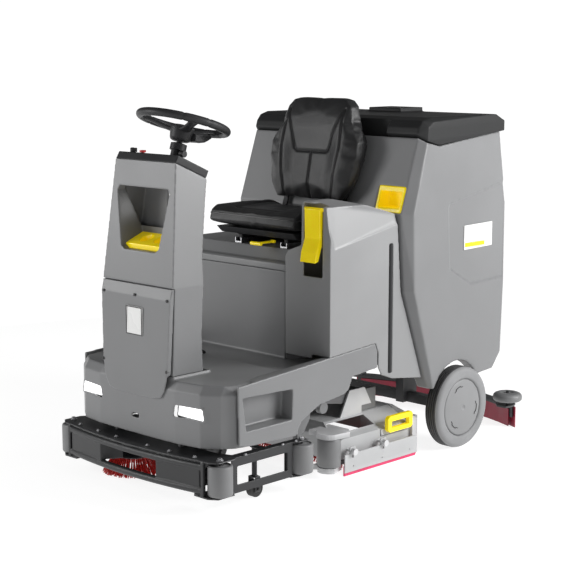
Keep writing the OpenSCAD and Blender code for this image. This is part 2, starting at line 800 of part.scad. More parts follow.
module deck_frame() color(steel) shift() difference() {
    union() {
        intersection() {
            union() {
                difference() {
                    side_prism(-404, 404, hood_out);
                    side_prism(-372, 372, hood_in);
                }
                both_sides() side_prism(372, 378, hood_out);
            }
            front_prism(500, 1300, hood_front);
        }
        both_sides() {
            // suspension plate for the lift arm
            side_prism(296, 304, [[799, 186], [856, 292], [946, 292], [1006, 186]]);
            rod_x(280, 300, deck_point[0], deck_point[1], 20);
        }
        // corner bracket over the deflection roller
        plan_prism(155.5, 176, concat(
            [[300, 700], [300, 624]],
            arc(deck_roller_point, 50, 200, 340, 10),
            [[436, 712], [404, 740], [300, 740]]
        ));
        plan_prism(20, 40.5, concat(
            [[320, 700], [320, 624]],
            arc(deck_roller_point, 46, 200, 340, 10),
            [[404, 700]]
        ));
        post(deck_roller_point[0], deck_roller_point[1], 30, 170, 16);
        box([300, 668, 20], [404, 674, 160]);
        // end cap behind the drawer
        hull() {
            box([378, 1112, 62], [418, 1140, 150]);
            box([378, 1112, 62], [410, 1152, 158]);
        }
        box([378, 762, 50], [404, 1104, 108]);
        // threaded pins and round knobs that guide and hold the side skirts
        both_sides() for (y = knob_y) {
            rod_x(376, 440, y, knob_z, 9);
            rod_x(438, 452, y, knob_z, 26);
        }
    }
    // room for the deflection roller, round its pin
    difference() {
        post(deck_roller_point[0], deck_roller_point[1], 40.5, 155.5, 96);
        post(deck_roller_point[0], deck_roller_point[1], 30, 170, 16);
    }
    // window for the drawer and the bearings of the brush rollers
    box([294, 928, 108], [420, 1106, 220]);
    for (y = brush_y) rod_x(-376, 376, y, brush_z, 30 + 2 * gap);
    box([-371, 900, -1], [371, 940, 20]);
}

module brush(y) {
    difference() {
        rod_x(-brush_l / 2, brush_l / 2, y, brush_z, brush_d);
        rod_x(-brush_l / 2 - 1, -brush_l / 2 + 20, y, brush_z, 60);
        rod_x(brush_l / 2 - 20, brush_l / 2 + 1, y, brush_z, 60);
    }
    rod_x(-375, 375, y, brush_z, 30);
}

module brush_front() color(red) shift() brush(brush_y[0]);
module brush_rear() color(red) shift() brush(brush_y[1]);

module brush_motors() color(dark) shift() both_sides() {
    rod_x(150, 262, 985, 232, 80);
    box([262, 938, 190.5], [288, 1032, 278]);
    box([160, 960, 190.5], [250, 1010, 200]);
}

module debris_drawer() color(steel) shift() {
    difference() {
        side_prism(-340, 300, [[946, 116], [938, 180], [1096, 180], [1090, 116]]);
        side_prism(-336, 296, [[950, 120], [942, 190], [1092, 190], [1086, 120]]);
    }
    front_prism(930, 1104, [[296.5, 112], [408, 112], [408, 136], [300, 188], [296.5, 188]]);
}

module drawer_handle() color(yellow) shift() translate([408.2, 0, 0]) difference() {
    side_prism(0, 20, [[962, 122], [950, 134], [950, 178], [960, 188], [1094, 188], [1102, 178], [1102, 134],
        [1092, 122]]);
    side_prism(-1, 21, [[972, 140], [972, 166], [1080, 166], [1080, 140]]);
}

module side_skirt() difference() {
    union() {
        side_prism(430, 436, [[686, 14], [686, 86], [1104, 86], [1122, 74], [1122, 14]]);
        for (y = knob_y) box([430, y - 15, 80], [436, y + 15, 112]);
    }
    for (y = [735, 905, 1075]) rod_x(420, 450, y, 34, 5);
    // slots that let the skirt rise on its pins
    for (y = knob_y) box([420, y - 5, knob_z - skirt_travel - 6], [450, y + 5, knob_z + 5.5]);
}

module side_lip()
    side_prism(424, 429.9, [[688, floor_gap], [688, 40], [1120, 40], [1124, 12], [1116, floor_gap]]);

module side_skirt_left() color(steel) shift() side_skirt();
module side_skirt_right() color(steel) shift() mirror([1, 0, 0]) side_skirt();
module side_lip_left() color(red) shift() side_lip();
module side_lip_right() color(red) shift() mirror([1, 0, 0]) side_lip();

module deck_roller_left() color(steel) shift()
    roller(deck_roller_point[0], deck_roller_point[1], 41, 92, 114, 16);

// ---- squeegee ----------------------------------------------------------------------

module squeegee_arm() color(dark) shift() {
    p = squeegee_pivot;
    rod_x(-60, 60, p[0], p[1], 16);
    difference() {
        union() {
            both_sides() side_prism(24, 36, [
                [p[0] - 16, p[1]], [p[0] - 10, p[1] + 16], [p[0] + 10, p[1] + 16], [1700, 178],
                [squeegee_swing_y + 20, 178], [squeegee_swing_y + 20, 162], [1690, 162], [p[0] - 8, p[1] - 14]
            ]);
            post(0, squeegee_swing_y, 162, 178, 84);
        }
        post(0, squeegee_swing_y, 100, 220, 20 + 2 * gap);
    }
}

// plan of a bowed strip of depth d, set back by offset, that ends short of the blades by inset
function bowed(offset, d, inset) = let(x1 = squeegee_x - inset, n = 12) concat(
    [for (i = [0:n]) let(x = x1 * (2 * i / n - 1)) [x, squeegee_mid_y + offset - x * x / squeegee_bow]],
    [for (i = [n:-1:0]) let(x = x1 * (2 * i / n - 1)) [x, squeegee_mid_y + offset + d - x * x / squeegee_bow]]
);

module squeegee_body() color(dark) shift() {
    plan_prism(92, 104, bowed(-46, 54, 20));
    plan_prism(44, 92, bowed(-4, 12, 20));
    plan_prism(104, 150, [[-70, 1760], [70, 1760], [70, 1830], [-70, 1830]]);
    post(0, squeegee_swing_y, 150, 161.5, 60);
    post(0, squeegee_swing_y, 150, 200, 20);
    both_sides() {
        // ears and pins of the deflection rollers
        plan_prism(104, 112, [[400, 1700], [430, 1670], [476, 1672], [482, 1720], [470, 1752], [410, 1772]]);
        post(deflector_point[0], deflector_point[1], 104, 172, 14);
    }
    // suction port for the hose to the tank
    difference() {
        post(110, 1822, 104, 160, 56);
        post(110, 1822, 110, 170, 44);
    }
}

module squeegee_blades() color(red) shift() {
    plan_prism(floor_gap, 91.9, bowed(9.2, 5, 8));
    plan_prism(floor_gap + 1.5, 80, bowed(-10, 4.8, 40));
}

module squeegee_roller(s) color(steel) shift()
    roller(s * deflector_point[0], deflector_point[1], 128, deflector_d, 38, 14);
module squeegee_roller_left() squeegee_roller(1);
module squeegee_roller_right() squeegee_roller(-1);

chassis_frame();
batteries();
body_shell();
console_shell();
lower_cover();
console_cap();
headlight_lenses();
cover_screws();
badge_plates();
storage_insert();
side_cover();
level_tube();
tank();
hand_pocket();
bumper_frame();
deck_guard();
steering_column();
battery_cover();
seat_rails();
seat_pan();
seat_cushion();
seat_back();
slide_lever();
tank_lid();
steering_wheel();
steer_fork();
drive_wheel();
tyre_left();
hub_left();
tyre_right();
hub_right();
bumper_roller_front_left();
bumper_roller_front_right();
bumper_roller_rear_left();
bumper_roller_rear_right();
caster_left();
caster_right();
selector_knob();
stop_button();
accelerator_pedal();
squeegee_lever();
side_brush_arm();
side_brush();
deck_arms();
deck_frame();
brush_front();
brush_rear();
brush_motors();
debris_drawer();
drawer_handle();
side_skirt_left();
side_lip_left();
side_skirt_right();
side_lip_right();
deck_roller_left();
squeegee_arm();
squeegee_body();
squeegee_blades();
squeegee_roller_left();
squeegee_roller_right();
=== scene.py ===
import json
import math
import random

import bmesh
import bpy
from mathutils import Matrix, Vector
from mathutils.bvhtree import BVHTree


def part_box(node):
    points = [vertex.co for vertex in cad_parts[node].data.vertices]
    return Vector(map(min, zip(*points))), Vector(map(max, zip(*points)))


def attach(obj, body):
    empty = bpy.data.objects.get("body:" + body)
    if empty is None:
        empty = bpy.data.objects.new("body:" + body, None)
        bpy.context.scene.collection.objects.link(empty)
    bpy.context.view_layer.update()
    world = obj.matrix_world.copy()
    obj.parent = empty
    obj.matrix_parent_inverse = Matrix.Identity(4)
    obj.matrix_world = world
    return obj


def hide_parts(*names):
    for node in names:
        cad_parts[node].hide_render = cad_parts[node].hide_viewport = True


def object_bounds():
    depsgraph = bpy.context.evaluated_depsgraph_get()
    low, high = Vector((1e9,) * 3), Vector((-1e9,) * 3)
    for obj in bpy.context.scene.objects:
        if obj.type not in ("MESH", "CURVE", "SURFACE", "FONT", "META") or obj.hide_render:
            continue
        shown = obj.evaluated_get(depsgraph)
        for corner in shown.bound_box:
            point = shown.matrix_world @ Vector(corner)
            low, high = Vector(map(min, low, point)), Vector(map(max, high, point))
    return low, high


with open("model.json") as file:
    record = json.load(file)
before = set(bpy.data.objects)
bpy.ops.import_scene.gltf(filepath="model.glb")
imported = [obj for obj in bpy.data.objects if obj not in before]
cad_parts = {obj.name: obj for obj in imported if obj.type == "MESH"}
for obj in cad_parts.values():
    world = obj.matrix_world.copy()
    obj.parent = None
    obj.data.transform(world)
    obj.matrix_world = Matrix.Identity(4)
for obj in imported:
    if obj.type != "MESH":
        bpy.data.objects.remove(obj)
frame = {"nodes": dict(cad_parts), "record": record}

CAD_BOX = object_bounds()
NODES = frame["nodes"]
BODY_OF = {node: body for body, nodes in frame["record"]["behaviour"]["bodies"].items() for node in nodes}
BUMPER_BULGE = 0.048
START = CAD_BOX[0].y + BUMPER_BULGE
MM = 0.001
CAMERA_AZIMUTH, CAMERA_ELEVATION = math.radians(44.315), math.radians(9.314)
FLOOR_RADIUS = 3.2
CUSHION_PRESSURE = 4.0
FACES_KEPT = 0.12     # share of a remeshed shell's faces that its decimation leaves
BEVEL_ANGLE = 28      # degrees between faces from which an edge is rounded


def at(x, y, z):
    """A point given by its x, its distance behind the front bumper's end plates, and its height."""
    return Vector((x, y + START, z))


def mm(x, y, z):
    """The same in millimetres."""
    return at(x * MM, y * MM, z * MM)


# ---- camera, floor and light -------------------------------------------------------


def towards(azimuth, elevation):
    """The direction of a viewer, with azimuth 0 in front of the machine and growing to its left side."""
    level = math.cos(elevation)
    return Vector((math.sin(azimuth) * level, -math.cos(azimuth) * level, math.sin(elevation)))


def make_camera():
    data = bpy.data.cameras.new("camera")
    data.lens, data.sensor_width = 90.9, 36
    data.clip_start, data.clip_end = 0.1, 200
    camera = bpy.data.objects.new("camera", data)
    back = towards(CAMERA_AZIMUTH, CAMERA_ELEVATION)
    camera.location = at(4.0893, -3.3667, 1.6312)
    camera.rotation_euler = (-back).to_track_quat("-Z", "Y").to_euler()
    bpy.context.scene.collection.objects.link(camera)
    bpy.context.scene.camera = camera


def make_light(name, azimuth, elevation, distance, size, power):
    data = bpy.data.lights.new(name, "AREA")
    data.shape, data.size, data.size_y, data.energy = "RECTANGLE", size[0], size[1], power
    light = bpy.data.objects.new(name, data)
    out = towards(math.radians(azimuth), math.radians(elevation))
    light.location = Vector((0, 0, 0.6)) + out * distance
    light.rotation_euler = (-out).to_track_quat("-Z", "Y").to_euler()
    bpy.context.scene.collection.objects.link(light)


def make_stage():
    mesh = bpy.data.meshes.new("floor")
    turns = [math.pi * k / 48 for k in range(96)]
    rim = [(FLOOR_RADIUS * math.cos(t), FLOOR_RADIUS * math.sin(t), 0) for t in turns]
    mesh.from_pydata(rim, [], [tuple(range(96))])
    floor = bpy.data.objects.new("floor", mesh)
    bpy.context.scene.collection.objects.link(floor)
    floor.location.z = -0.0005
    material, _, _, shader = new_material("pale_floor")
    shader.inputs["Base Color"].default_value = (0.32, 0.32, 0.32, 1)
    shader.inputs["Roughness"].default_value = 0.9
    shader.inputs["Specular IOR Level"].default_value = 0.1
    shader.inputs["Emission Color"].default_value = (1, 1, 1, 1)
    shader.inputs["Emission Strength"].default_value = 0.86
    mesh.materials.append(material)

    world = bpy.data.worlds.new("studio")
    bpy.context.scene.world = world
    world.use_nodes = True
    nodes, links = world.node_tree.nodes, world.node_tree.links
    background = nodes["Background"]
    # white up to the horizon, dim overhead
    coords = nodes.new("ShaderNodeTexCoord")
    split = nodes.new("ShaderNodeSeparateXYZ")
    links.new(coords.outputs["Generated"], split.inputs[0])
    strength = between(nodes, links, split.outputs["Z"], 1.05, 0.12, 0.05, 0.12)
    background.inputs["Color"].default_value = (1, 1, 1, 1)
    links.new(strength, background.inputs["Strength"])
    bpy.context.scene.view_settings.view_transform = "Standard"

    make_light("side_softbox", 122, 22, 5.0, (2.2, 2.2), 250)
    make_light("front_softbox", -36, 16, 5.0, (2.0, 2.0), 90)
    make_light("top_softbox", 80, 60, 4.5, (2.0, 2.0), 22)


# ---- materials -----------------------------------------------------------------------


def new_material(name):
    material = bpy.data.materials.new(name)
    material.use_nodes = True
    nodes, links = material.node_tree.nodes, material.node_tree.links
    nodes.clear()
    shader = nodes.new("ShaderNodeBsdfPrincipled")
    links.new(shader.outputs[0], nodes.new("ShaderNodeOutputMaterial").inputs[0])
    return material, nodes, links, shader


def noise(nodes, links, scale, detail=3.0):
    coords = nodes.new("ShaderNodeTexCoord")
    texture = nodes.new("ShaderNodeTexNoise")
    texture.inputs["Scale"].default_value = scale
    texture.inputs["Detail"].default_value = detail
    links.new(coords.outputs["Object"], texture.inputs["Vector"])
    return texture.outputs["Fac"]


def between(nodes, links, factor, low, high, start=0.35, end=0.65):
    """low where factor is under start, high where it is over end."""
    mapped = nodes.new("ShaderNodeMapRange")
    mapped.inputs["From Min"].default_value = start
    mapped.inputs["From Max"].default_value = end
    links.new(factor, mapped.inputs["Value"])
    if not isinstance(low, tuple) and not hasattr(low, "type"):
        mapped.inputs["To Min"].default_value = low
        mapped.inputs["To Max"].default_value = high
        return mapped.outputs["Result"]
    mix = nodes.new("ShaderNodeMix")
    mix.data_type = "RGBA"
    links.new(mapped.outputs["Result"], mix.inputs["Factor"])
    for value, socket in ((low, mix.inputs["A"]), (high, mix.inputs["B"])):
        if isinstance(value, tuple):
            socket.default_value = (*value, 1)
        else:
            links.new(value, socket)
    return mix.outputs["Result"]


def finish(
    name, colour, rough=0.45, spread=0.12, metallic=0.0, patch=5.0, grain=900.0, depth=0.00006, wear=None,
    cells=None, spec=0.5,
):
    """A material whose colour and roughness vary a little in patches, with a fine bump of its own."""
    material, nodes, links, shader = new_material(name)
    low = tuple(c * (1 - spread) for c in colour)
    high = tuple(min(1.0, c * (1 + spread)) for c in colour)
    patches = noise(nodes, links, patch)
    tone = between(nodes, links, patches, low, high)
    fine = noise(nodes, links, grain, 2.0)
    tone = between(nodes, links, fine, tuple(c * (1 - spread * 0.5) for c in low), tone, 0.25, 0.5)
    if wear:
        edges = nodes.new("ShaderNodeNewGeometry").outputs["Pointiness"]
        tone = between(nodes, links, edges, tone, wear, 0.52, 0.62)
    links.new(tone, shader.inputs["Base Color"])
    links.new(between(nodes, links, patches, rough - 0.05, rough + 0.05), shader.inputs["Roughness"])
    shader.inputs["Metallic"].default_value = metallic
    shader.inputs["Specular IOR Level"].default_value = spec
    height = fine
    if cells:
        coords = nodes.new("ShaderNodeTexCoord")
        leather = nodes.new("ShaderNodeTexVoronoi")
        leather.feature = "DISTANCE_TO_EDGE"
        leather.inputs["Scale"].default_value = cells
        links.new(coords.outputs["Object"], leather.inputs["Vector"])
        height = between(nodes, links, leather.outputs["Distance"], 0.0, 1.0, 0.0, 0.25)
    bump = nodes.new("ShaderNodeBump")
    bump.inputs["Distance"].default_value = depth
    bump.inputs["Strength"].default_value = 0.6
    links.new(height, bump.inputs["Height"])
    links.new(bump.outputs["Normal"], shader.inputs["Normal"])
    return material


def glowing(name, colour, strength):
    material = finish(name, colour, rough=0.2, grain=300)
    shader = material.node_tree.nodes["Principled BSDF"]
    shader.inputs["Emission Color"].default_value = (*colour, 1)
    shader.inputs["Emission Strength"].default_value = strength
    return material


make_camera()
make_stage()

BODY = finish("moulded_grey", (0.190, 0.192, 0.196), 0.42, 0.05, wear=(0.33, 0.332, 0.336), patch=3)
COVER = finish("moulded_light_grey", (0.255, 0.257, 0.261), 0.42, 0.05, wear=(0.36, 0.362, 0.366), patch=3)
DARK = finish("satin_dark_plastic", (0.022, 0.0225, 0.024), 0.45, 0.12, wear=(0.07, 0.07, 0.073), spec=0.25)
LID = finish("lid_dark_plastic", (0.019, 0.0195, 0.020), 0.5, 0.10, wear=(0.08, 0.08, 0.085), spec=0.2)
STEEL = finish("black_powder_coat", (0.022, 0.0225, 0.024), 0.44, 0.15, grain=1600, depth=0.0001,
               wear=(0.12, 0.12, 0.125))
PALE = finish("light_powder_coat", (0.42, 0.425, 0.43), 0.42, 0.04, grain=1400, wear=(0.62, 0.62, 0.63))
ZINC = finish("zinc_plate", (0.62, 0.62, 0.64), 0.32, 0.1, metallic=1.0, patch=60)
SCREW = finish("black_oxide", (0.012, 0.012, 0.013), 0.35, 0.2)
GREY = finish("grey_roller", (0.155, 0.157, 0.160), 0.5, 0.07, patch=8, wear=(0.30, 0.30, 0.305))
# the yellow parts glow a little: painted light that brightens them, though they are no lamp
YELLOW_PAINTED_GLOW = glowing("yellow_moulding_painted_glow", (0.95, 0.72, 0.006), 0.22)
RED = finish("red_button", (0.60, 0.015, 0.015), 0.25, 0.08)
VINYL = finish("black_vinyl", (0.016, 0.0162, 0.017), 0.40, 0.14, cells=420, depth=0.00025, spec=0.42,
               wear=(0.035, 0.035, 0.036))
PIPING = finish("vinyl_piping", (0.011, 0.011, 0.0115), 0.3, 0.12, cells=500, depth=0.0001)
TYRE = finish("grey_rubber", (0.235, 0.237, 0.242), 0.62, 0.07, patch=14, grain=700, depth=0.00012)
# the tread's darker colour is painted shade: the tyre is all one grey rubber
TREAD_PAINTED_SHADE = finish("tread_painted_shade", (0.055, 0.055, 0.057), 0.72, 0.2, patch=30, grain=600, depth=0.0002)
HUB = finish("hub_plastic", (0.225, 0.227, 0.231), 0.48, 0.05)
RUBBER = finish("black_rubber", (0.022, 0.022, 0.022), 0.65, 0.2, patch=30, grain=600, depth=0.00015)
BRISTLE = finish("red_bristle", (0.52, 0.016, 0.012), 0.4, 0.35, patch=90)
LIP = finish("crimson_rubber", (0.66, 0.035, 0.13), 0.45, 0.08, patch=20)
BLADE = finish("dark_red_rubber", (0.27, 0.012, 0.035), 0.45, 0.1, patch=20)
PLATE = finish("white_plate", (0.80, 0.80, 0.79), 0.3, 0.02)
BATTERY = finish("battery_case", (0.05, 0.05, 0.055), 0.5, 0.1)
LENS = glowing("lit_lens", (1.0, 1.0, 1.0), 1.1)

# ---- making pieces ---------------------------------------------------------------------


def add(name, bm, material, body, smooth=True, crease=35):
    """A new object from a bmesh, riding on a body."""
    bmesh.ops.recalc_face_normals(bm, faces=bm.faces)
    for face in bm.faces:
        face.smooth = smooth
    if smooth:
        for edge in bm.edges:
            edge.smooth = len(edge.link_faces) != 2 or edge.calc_face_angle() < math.radians(crease)
    mesh = bpy.data.meshes.new(name)
    bm.to_mesh(mesh)
    bm.free()
    mesh.materials.append(material)
    obj = bpy.data.objects.new(name, mesh)
    bpy.context.scene.collection.objects.link(obj)
    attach(obj, body)
    return obj


def copy_of(node, name):
    """The node's shape as an object of its own, with its points welded and no stored normals."""
    bm = bmesh.new()
    bm.from_mesh(NODES[node].data)
    bmesh.ops.remove_doubles(bm, verts=bm.verts, dist=0.01 * MM)
    mesh = bpy.data.meshes.new(name)
    bm.to_mesh(mesh)
    bm.free()
    for key in [a.name for a in mesh.attributes if a.name in ("custom_normal", "sharp_edge", "sharp_face")]:
        mesh.attributes.remove(mesh.attributes[key])
    mesh.materials.clear()
    obj = bpy.data.objects.new(name, mesh)
    bpy.context.scene.collection.objects.link(obj)
    return obj


def modifier(obj, kind, **values):
    made = obj.modifiers.new(kind.lower(), kind)
    for key, value in values.items():
        setattr(made, key, value)
    return made


def apply_modifiers(obj):
    evaluated = obj.evaluated_get(bpy.context.evaluated_depsgraph_get())
    mesh = bpy.data.meshes.new_from_object(evaluated)
    old = obj.data
    obj.modifiers.clear()
    obj.data = mesh
    bpy.data.meshes.remove(old)


def shade(obj):
    for polygon in obj.data.polygons:
        polygon.use_smooth = True
    modifier(obj, "WEIGHTED_NORMAL", weight=80, keep_sharp=True)
    apply_modifiers(obj)


def stand_in(obj, node, material):
    """obj is shown in place of the node."""
    obj.data.materials.clear()
    obj.data.materials.append(material)
    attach(obj, BODY_OF[node])
    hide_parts(node)
    return obj


def moulded(node, material, voxel, rounds):
    """The node with its edges rounded as a moulding's are: a fine remesh, smoothed."""
    obj = copy_of(node, node + "_moulding")
    modifier(obj, "REMESH", mode="VOXEL", voxel_size=voxel * MM, use_smooth_shade=True)
    modifier(obj, "SMOOTH", factor=0.5, iterations=rounds)
    modifier(obj, "DECIMATE", decimate_type="COLLAPSE", ratio=FACES_KEPT)
    apply_modifiers(obj)
    shade(obj)
    return stand_in(obj, node, material)


def bevelled(node, material, width):
    """The node with a small round on each sharp edge."""
    obj = copy_of(node, node + "_finished")
    modifier(obj, "DECIMATE", decimate_type="DISSOLVE", angle_limit=math.radians(0.5))
    modifier(
        obj, "BEVEL", width=width * MM, segments=3, limit_method="ANGLE",
        angle_limit=math.radians(BEVEL_ANGLE), use_clamp_overlap=False, miter_outer="MITER_ARC",
        harden_normals=False,
    )
    apply_modifiers(obj)
    shade(obj)
    return stand_in(obj, node, material)


def painted(node, material):
    for slot in NODES[node].material_slots:
        slot.material = material


def ring(bm, centre, radius, axis_u, axis_v, count):
    return [
        bm.verts.new(centre + (axis_u * math.cos(t) + axis_v * math.sin(t)) * radius)
        for t in (2 * math.pi * i / count for i in range(count))
    ]


def bridge(bm, a, b):
    for i in range(len(a)):
        j = (i + 1) % len(a)
        bm.faces.new((a[i], a[j], b[j], b[i]))


def lathe(bm, centre, axis, profile, count=96):
    """Turns a list of (radius, distance along the axis) round an axis; a radius of 0 closes an end."""
    axis = Vector(axis).normalized()
    side = axis.orthogonal().normalized()
    other = axis.cross(side)
    last = None
    for radius, along in profile:
        middle = centre + axis * along
        if radius <= 0:
            tip = bm.verts.new(middle)
            if last:
                for i in range(count):
                    bm.faces.new((last[i], last[(i + 1) % count], tip))
            last, start_tip = None, tip
            continue
        now = ring(bm, middle, radius, side, other, count)
        if last:
            bridge(bm, last, now)
        elif profile[0][0] <= 0 and (radius, along) == profile[1]:
            for i in range(count):
                bm.faces.new((now[(i + 1) % count], now[i], start_tip))
        last = now
    return bm


def loop_lathe(bm, centre, axis, profile, count=96):
    """Turns a closed outline of (radius, distance) round an axis."""
    axis = Vector(axis).normalized()
    side = axis.orthogonal().normalized()
    other = axis.cross(side)
    rings = [ring(bm, centre + axis * along, radius, side, other, count) for radius, along in profile]
    for k in range(len(rings)):
        bridge(bm, rings[k], rings[(k + 1) % len(rings)])
    return bm


def rounded(points, radius, steps=4):
    """A closed 2-D outline with its corners rounded."""
    out = []
    n = len(points)
    for i in range(n):
        p, a, b = Vector(points[i]), Vector(points[i - 1]), Vector(points[(i + 1) % n])
        cut = min(radius, 0.45 * (a - p).length, 0.45 * (b - p).length)
        start, end = p + (a - p).normalized() * cut, p + (b - p).normalized() * cut
        for k in range(steps + 1):
            t = k / steps
            out.append(tuple(start * (1 - t) ** 2 + p * 2 * t * (1 - t) + end * t * t))
    return out


def tube(bm, points, radius, sides=10, closed=False):
    """A round tube along points, with flat ends unless it is closed."""
    count = len(points)
    rings = []
    normal = None
    for i, p in enumerate(points):
        before = points[i - 1] if (i or closed) else points[i]
        after = points[(i + 1) % count] if (i < count - 1 or closed) else points[i]
        along = (after - before).normalized()
        if normal is None:
            normal = along.orthogonal().normalized()
        normal = (normal - along * normal.dot(along)).normalized()
        rings.append(ring(bm, p, radius, normal, along.cross(normal), sides))
    for i in range(count - 1):
        bridge(bm, rings[i], rings[i + 1])
    if closed:
        shift = min(range(sides), key=lambda k: (rings[0][k].co - rings[-1][0].co).length)
        bridge(bm, rings[-1], rings[0][shift:] + rings[0][:shift])
    else:
        bm.faces.new(rings[0][::-1])
        bm.faces.new(rings[-1])
    return bm


def bar(bm, low, high):
    """A thin rectangular strip between two corners, with its rims broken."""
    low, high = Vector(low), Vector(high)
    size = high - low
    rim = min(size) * 0.3
    flat = min(range(3), key=lambda k: size[k])
    u, v = [k for k in range(3) if k != flat]
    rings = []
    for along, inset in ((0, rim), (rim, 0), (size[flat] - rim, 0), (size[flat], rim)):
        now = []
        far_u, far_v = size[u] - inset, size[v] - inset
        for a, b in ((inset, inset), (far_u, inset), (far_u, far_v), (inset, far_v)):
            p = low.copy()
            p[flat] += along
            p[u] += a
            p[v] += b
            now.append(bm.verts.new(p))
        rings.append(now)
    for a, b in zip(rings, rings[1:]):
        bridge(bm, a, b)
    bm.faces.new(rings[0][::-1])
    bm.faces.new(rings[-1])


def hex_bolt(bm, point, axis, across=0.013, height=0.008):
    """A washer under a domed hexagon head."""
    axis = Vector(axis)
    lathe(bm, point, axis, [(0, 0), (across * 0.85, 0), (across * 0.85, 0.0016), (0, 0.0016)], 24)
    lathe(bm, point, axis, [
        (0, 0.0012), (across * 0.56, 0.0012), (across * 0.56, height * 0.8), (across * 0.46, height),
        (0, height),
    ], 6)


# ---- shells and structure ------------------------------------------------------------------

MOULDED = {
    "body_shell": (BODY, 3.6, 5),
    "console_shell": (BODY, 2.8, 4),
    "lower_cover": (BODY, 2.4, 3),
    "side_cover": (COVER, 3.0, 4),
    "tank": (BODY, 4.5, 4),
    "tank_lid": (LID, 3.2, 4),
    "battery_cover": (BODY, 2.6, 3),
    "bumper_frame": (STEEL, 2.4, 2),
    "storage_insert": (YELLOW_PAINTED_GLOW, 2.2, 4),
    "hand_pocket": (YELLOW_PAINTED_GLOW, 2.0, 2),
    "console_cap": (DARK, 2.4, 3),
    "seat_pan": (DARK, 3.2, 3),
    "squeegee_lever": (YELLOW_PAINTED_GLOW, 1.8, 3),
    "deck_guard": (GREY, 2.0, 3),
    "accelerator_pedal": (DARK, 2.0, 2),
}
BEVELLED = {
    "drawer_handle": (YELLOW_PAINTED_GLOW, 2.0),
    "debris_drawer": (PALE, 1.2),
    "side_skirt_left": (PALE, 0.8),
    "side_skirt_right": (PALE, 0.8),
    "squeegee_body": (STEEL, 0.8),
    "squeegee_arm": (STEEL, 1.0),
    "headlight_lenses": (LENS, 1.0),
    "badge_plates": (PLATE, 0.6),
    "steering_column": (DARK, 1.5),
    "brush_motors": (GREY, 2.0),
    "side_brush_arm": (STEEL, 1.5),
    "slide_lever": (YELLOW_PAINTED_GLOW, 1.5),
    "stop_button": (RED, 1.0),
    "selector_knob": (DARK, 1.0),
    "seat_rails": (ZINC, 0.6),
    "level_tube": (DARK, 1.0),
    "batteries": (BATTERY, 3.0),
    "cover_screws": (SCREW, 0.8),
    "steer_fork": (STEEL, 1.5),
}
PAINTED = {
    "chassis_frame": STEEL,
    "deck_arms": STEEL,
    "deck_frame": PALE,
    "drive_wheel": RUBBER,
    "caster_left": RUBBER,
    "caster_right": RUBBER,
    "side_lip_left": LIP,
    "side_lip_right": LIP,
    "squeegee_blades": BLADE,
}
for node, settings in MOULDED.items():
    moulded(node, *settings)
for node, settings in BEVELLED.items():
    bevelled(node, *settings)
for node, material in PAINTED.items():
    painted(node, material)

# ---- rear wheels -------------------------------------------------------------------------


def rear_wheel(side, sign):
    low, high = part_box("tyre_" + side)
    centre = (low + high) / 2
    radius, half = (high.z - low.z) / 2, (high.x - low.x) / 2
    outer, rim = Vector((sign, 0, 0)), 0.119
    body = BODY_OF["tyre_" + side]
    bm = bmesh.new()
    wall = [
        (rim, -half), (radius - 0.014, -half), (radius - 0.005, -half + 0.003), (radius, -half + 0.010),
    ]
    for k in range(4):
        x = -0.0215 + 0.011 * k
        wall += [
            (radius, x - 0.0022), (radius - 0.006, x - 0.0014), (radius - 0.006, x + 0.0014),
            (radius, x + 0.0022),
        ]
    wall += [(radius, half - 0.020), (radius - 0.0015, half - 0.014), (radius - 0.006, half - 0.006)]
    wall += [(radius - 0.014, half - 0.001), (radius - 0.022, half), (rim + 0.010, half - 0.0005)]
    wall += [(rim + 0.003, half - 0.003), (rim, half - 0.008)]
    loop_lathe(bm, centre, outer, wall, 144)
    tyre = add("tyre_%s_rubber" % side, bm, TYRE, body, crease=50)
    tyre.data.materials.append(TREAD_PAINTED_SHADE)
    # faces on the tread take the darker rubber, which paints shade on it
    for polygon in tyre.data.polygons:
        out = (polygon.center - centre).dot(outer)
        distance = (polygon.center - centre - outer * out).length
        if distance > radius - 0.0075 and out < half - 0.013:
            polygon.material_index = 1
    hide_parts("tyre_" + side)

    bm = bmesh.new()
    lathe(bm, centre, outer, [
        (0, -half + 0.010), (rim - 0.001, -half + 0.004), (rim - 0.001, half - 0.009),
        (rim - 0.003, half - 0.006), (rim - 0.006, half - 0.004), (rim - 0.010, half - 0.0036),
        (rim - 0.030, half - 0.0022), (0.012, half + 0.0005), (0.010, half - 0.0012),
        (0.004, half - 0.0025), (0, half - 0.003),
    ], 144)
    hub = add("hub_%s_disc" % side, bm, HUB, body, crease=30)
    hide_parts("hub_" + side)

    # three raised catches near the disc's edge
    bm = bmesh.new()
    up, across = Vector((0, 0, 1)), outer.cross(Vector((0, 0, 1)))
    for middle in (70, 190, 310):
        points = []
        for k in range(13):
            t = math.radians(middle - 18 + 3 * k)
            reach = 0.093 if 2 < k < 10 else 0.088
            out = across * math.cos(t) + up * math.sin(t)
            points.append(centre + out * reach + outer * (half - 0.0015))
        tube(bm, points, 0.0016, 6)
    add("hub_%s_catches" % side, bm, SCREW, body)


rear_wheel("left", 1)
rear_wheel("right", -1)

# ---- rollers -------------------------------------------------------------------------------


